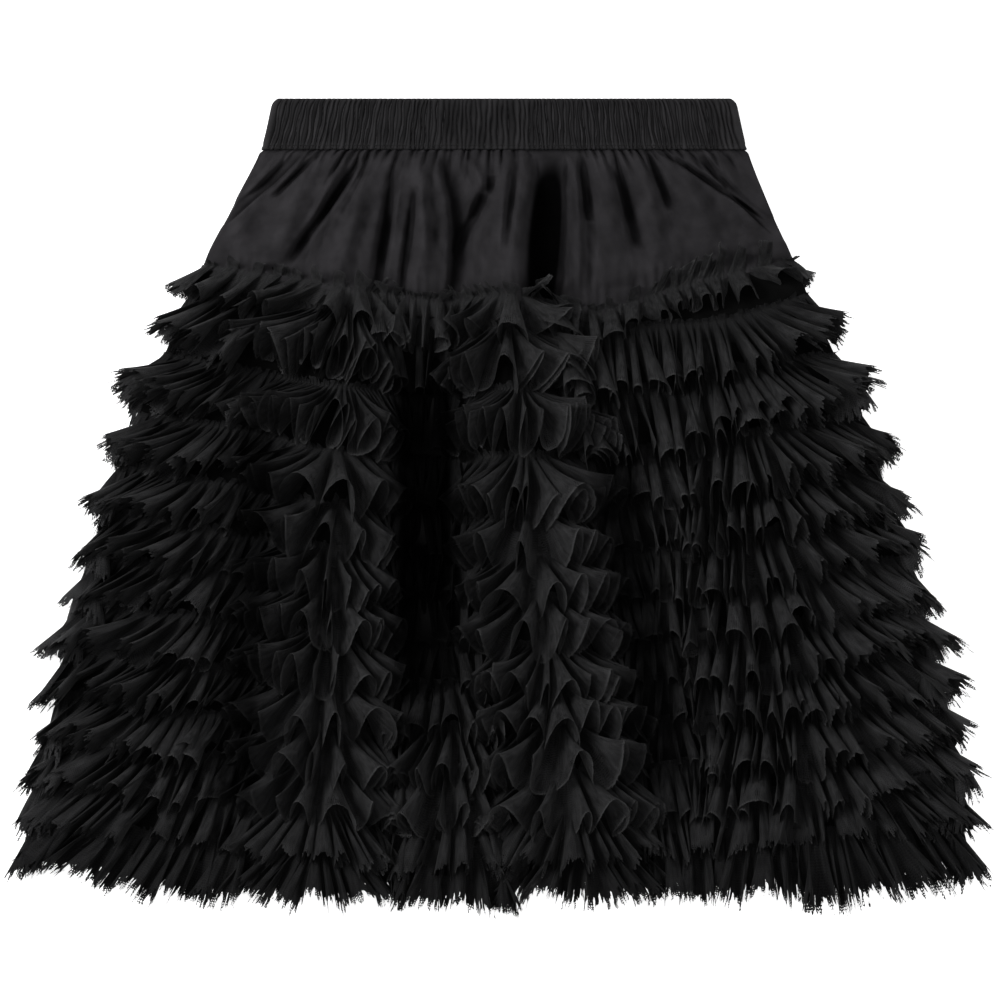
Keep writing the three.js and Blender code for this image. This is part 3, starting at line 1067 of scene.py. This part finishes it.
def cotton_material(name, dark, light, sheen, shade, dent):
    """Closely woven black cotton: a fine plain weave, slubs along the threads and soft crumples, with
    painted shade in its folds.
    """
    cotton = Shading(name)
    place = cotton.cloth_place()
    mottle = cotton.noise(place, 55, 5)
    colour = cotton.ramp(mottle, "Fac", [(0.3, dark), (0.7, light)])
    # Painted shade: darker and duller in the folds, by the share shade.
    cotton.shade(colour, "Color", shade, sheen, COTTON_GLOSS)
    threads = []
    for direction in ("X", "Y"):
        values = {"Scale": COTTON_THREADS, "Distortion": 0.6}
        wave = cotton.node("ShaderNodeTexWave", values, wave_type="BANDS", bands_direction=direction)
        cotton.join(place, 0, wave, "Vector")
        threads.append(wave)
    weave = cotton.math("MULTIPLY", *threads)
    slubs = cotton.noise(cotton.stretch(place, 0, (60, 900, 1)), 1.0, 3)
    crumples = cotton.noise(place, 110, 5)
    dents = cotton.noise(place, 42, 3)
    fine = cotton.bump(weave, 0, 0.00008, 0.5)
    slubbed = cotton.bump(slubs, "Fac", 0.00015, 0.35, fine)
    creased = cotton.bump(crumples, "Fac", 0.0012, 0.5, slubbed)
    dented = cotton.bump(dents, "Fac", 0.0030, dent, creased)
    return cotton.finish(dented, 0.8, sheen, COTTON_TINT, COTTON_GLOSS)


def base_material():
    """The matt foundation cloth, which shows only in slivers."""
    cloth = Shading("base_black")
    place = cloth.cloth_place()
    mottle = cloth.noise(place, 80, 4)
    colour = cloth.ramp(mottle, "Fac", [(0.3, grey(0.0025)), (0.7, grey(0.0045))])
    cloth.join(colour, "Color", cloth.shader, "Base Color")
    weave = cloth.noise(place, 1500, 2)
    return cloth.finish(cloth.bump(weave, "Fac", 0.0001, 0.4), 0.9, 0.0, WHITE, 0.02)


NET_CELLS = 620  # cells in a metre
EDGE_RAG = (0.0012, 0.017)  # how far the cut edge frays on the front and at the folds, in metres
OPEN_EDGE = (0.005, 0.015)  # the net is open up to here from the cut edge, in metres
RIM_HIGHLIGHT = 0.0021  # the width of the painted highlight along the curled cut edge, in metres
TULLE_SHEEN = 0.04
TULLE_GLOSS = 0.06
# How much darker the tulle is where its painted shade is deepest.
TULLE_SHADE = 0.96


def net_threads(tulle, place, cells, parts, ragged):
    """1 on the threads of the net and 0 in its cells, which are open in wisps near the cut edge."""
    wisps = tulle.noise(place, 75, 2)
    half_thread = tulle.spread(wisps, "Fac", 0.38, 0.64, 0.34, 0.12)
    away = tulle.spread(parts, "Y", *OPEN_EDGE, 0, 1)
    closing = tulle.spread(ragged, "Fac", 0.0, 0.7, 0.08, 0.5)
    closed = tulle.math("ADD", half_thread, tulle.math("MULTIPLY", away, closing))
    at_edge = tulle.spread(ragged, "Fac", 0.0, 0.7, 0.0, 0.04)
    return tulle.math("LESS_THAN", cells, tulle.math("ADD", closed, at_edge))


def inside_fray(tulle, place, parts, ragged):
    """1 inside the frayed cut edge and 0 outside it."""
    fray = tulle.noise(tulle.stretch(place, 0, (1, 0.22, 1)), 340, 3)
    share = tulle.spread(fray, "Fac", 0.38, 0.72, 0.0, 1.0)
    deepest = tulle.spread(ragged, "Fac", 0, 1, *EDGE_RAG)
    return tulle.math("GREATER_THAN", parts, tulle.math("MULTIPLY", share, deepest), "Y")


def tulle_material():
    """Fine nylon net: small cells between threads, open in wisps, frayed at its cut edge and with a painted
    highlight along it.
    """
    tulle = Shading("tulle_black")
    place = tulle.cloth_place()
    cells = tulle.node("ShaderNodeTexVoronoi", feature="DISTANCE_TO_EDGE", voronoi_dimensions="2D")
    set_inputs(cells, {"Scale": NET_CELLS, "Randomness": 0.7})
    tulle.join(place, 0, cells, "Vector")
    ragged = tulle.node("ShaderNodeAttribute", attribute_name="ragged")
    parts = tulle.node("ShaderNodeSeparateXYZ")
    tulle.join(place, 0, parts, "Vector")
    net = net_threads(tulle, place, cells, parts, ragged)
    inside = inside_fray(tulle, place, parts, ragged)
    tulle.join(tulle.math("MULTIPLY", net, inside), 0, tulle.shader, "Alpha")

    streaks = tulle.noise(tulle.stretch(place, 0, (1, 0.35, 1)), 260, 5)
    body = tulle.ramp(streaks, "Fac", [(0.32, grey(0.013, 0.0005)), (0.7, grey(0.030, 0.001))])
    thread = tulle.ramp(cells, "Distance", [(0.0, grey(1.5)), (0.3, grey(0.45))])
    knit = tulle.multiply(body, "Color", thread, "Color")
    # A painted highlight along the curled cut edge: a paler colour there.
    rim_highlight = tulle.spread(parts, "Y", RIM_HIGHLIGHT * 0.6, RIM_HIGHLIGHT * 1.6, 1.0, 0.0)
    knit_with_rim_highlight = tulle.node("ShaderNodeMix", {MIX_SECOND: (*grey(0.042, 0.001), 1)}, data_type="RGBA")
    tulle.join(rim_highlight, 0, knit_with_rim_highlight, MIX_SHARE)
    tulle.join(knit, MIX_RESULT, knit_with_rim_highlight, MIX_FIRST)
    # Painted shade: darker and duller in the valleys, under the tier above and in folds.
    tulle.shade(knit_with_rim_highlight, MIX_RESULT, TULLE_SHADE, TULLE_SHEEN, TULLE_GLOSS)
    return tulle.finish(tulle.bump(streaks, "Fac", 0.0012, 0.5), 0.8, TULLE_SHEEN, WHITE, TULLE_GLOSS)


def thread_material():
    """Black sewing thread, twisted along its length."""
    thread = Shading("stitching_black")
    place = thread.node("ShaderNodeTexCoord")
    twist = thread.noise(thread.stretch(place, "Object", (2400, 700, 700)), 1.0, 2)
    colour = thread.ramp(twist, "Fac", [(0.3, grey(0.007)), (0.7, grey(0.014))])
    thread.join(colour, "Color", thread.shader, "Base Color")
    return thread.finish(thread.bump(twist, "Fac", 0.0001, 0.5), 0.7, 0.05, WHITE, 0.1)


FLOOR_HALF = 4.0
FLOOR_GLOW = 0.85
WORLD_LIGHT = 0.44


def add_floor():
    """A large white surface, lit a little from within as on a light table."""
    mesh = bpy.data.meshes.new("floor")
    corners = [(x * FLOOR_HALF, y * FLOOR_HALF, 0) for x, y in ((-1, -1), (1, -1), (1, 1), (-1, 1))]
    mesh.from_pydata(corners, [], [(0, 1, 2, 3)])
    floor = add_object("floor", mesh)
    paint = Shading("floor_white")
    set_inputs(paint.shader, {
        "Base Color": (*grey(0.92), 1),
        "Roughness": 0.7,
        "Emission Color": (*WHITE, 1),
        "Emission Strength": FLOOR_GLOW,
    })
    mesh.materials.append(paint.material)


def add_softbox(name, place, width, height, power):
    """A large area light that faces the middle of the skirt."""
    light = bpy.data.lights.new(name, "AREA")
    light.shape = "RECTANGLE"
    light.size = width
    light.size_y = height
    light.energy = power
    lamp = add_object(name, light)
    lamp.location = place
    lamp.rotation_euler = (-Vector(place)).to_track_quat("-Z", "Y").to_euler()


def add_lights():
    world = bpy.data.worlds.new("studio")
    world.use_nodes = True
    set_inputs(world.node_tree.nodes["Background"], {"Color": (*WHITE, 1), "Strength": WORLD_LIGHT})
    bpy.context.scene.world = world
    add_softbox("softbox_left", (-1.35, 0.5, 1.55), 0.8, 0.8, 33)
    add_softbox("softbox_right", (1.7, 0.3, 1.0), 0.9, 0.9, 5.5)
    add_softbox("softbox_top", (0.0, 1.7, 2.0), 1.2, 0.8, 5)


PHOTO_WIDTH = 1000  # pixels
PHOTO_SCALE = 0.66  # millimetres a pixel
PHOTO_MIDDLE = (499.5, 506.0)  # the pixel of the skirt's middle
CAMERA_HEIGHT = 2.2
FRAMED_HEIGHT = 0.015  # the height at which a pixel has that scale, in metres
SENSOR = 36.0


def add_camera():
    """A camera straight above, framed as the photograph."""
    lens = bpy.data.cameras.new("camera")
    lens.sensor_width = SENSOR
    width = PHOTO_WIDTH * PHOTO_SCALE * METRES
    lens.lens = SENSOR * (CAMERA_HEIGHT - FRAMED_HEIGHT) / width
    lens.clip_end = 50
    camera = add_object("camera", lens)
    x = (PHOTO_WIDTH / 2 - PHOTO_MIDDLE[0]) * PHOTO_SCALE
    y = (PHOTO_MIDDLE[1] - PHOTO_WIDTH / 2) * PHOTO_SCALE
    camera.location = (x * METRES, y * METRES, CAMERA_HEIGHT)
    bpy.context.scene.camera = camera


add_camera()
add_lights()
add_floor()
bpy.context.scene.view_settings.view_transform = "Standard"

band_cotton = cotton_material(
    "waistband_cotton",
    dark=(0.0160, 0.0156, 0.0164),
    light=(0.0315, 0.0305, 0.0323),
    sheen=0.01,
    shade=0.985,
    dent=0.1,
)
yoke_cotton = cotton_material(
    "yoke_cotton",
    dark=(0.0150, 0.0143, 0.0155),
    light=(0.0290, 0.0276, 0.0300),
    sheen=0.01,
    shade=0.94,
    dent=0.4,
)
tulle_cloth = tulle_material()

waistband = add_waistband(band_cotton)
add_stitching(thread_material())
yoke = add_yoke(yoke_cotton)
base = add_base(base_material())
frills = [add_frill(down, free, number, tulle_cloth) for number, (down, free) in enumerate(TIERS)]
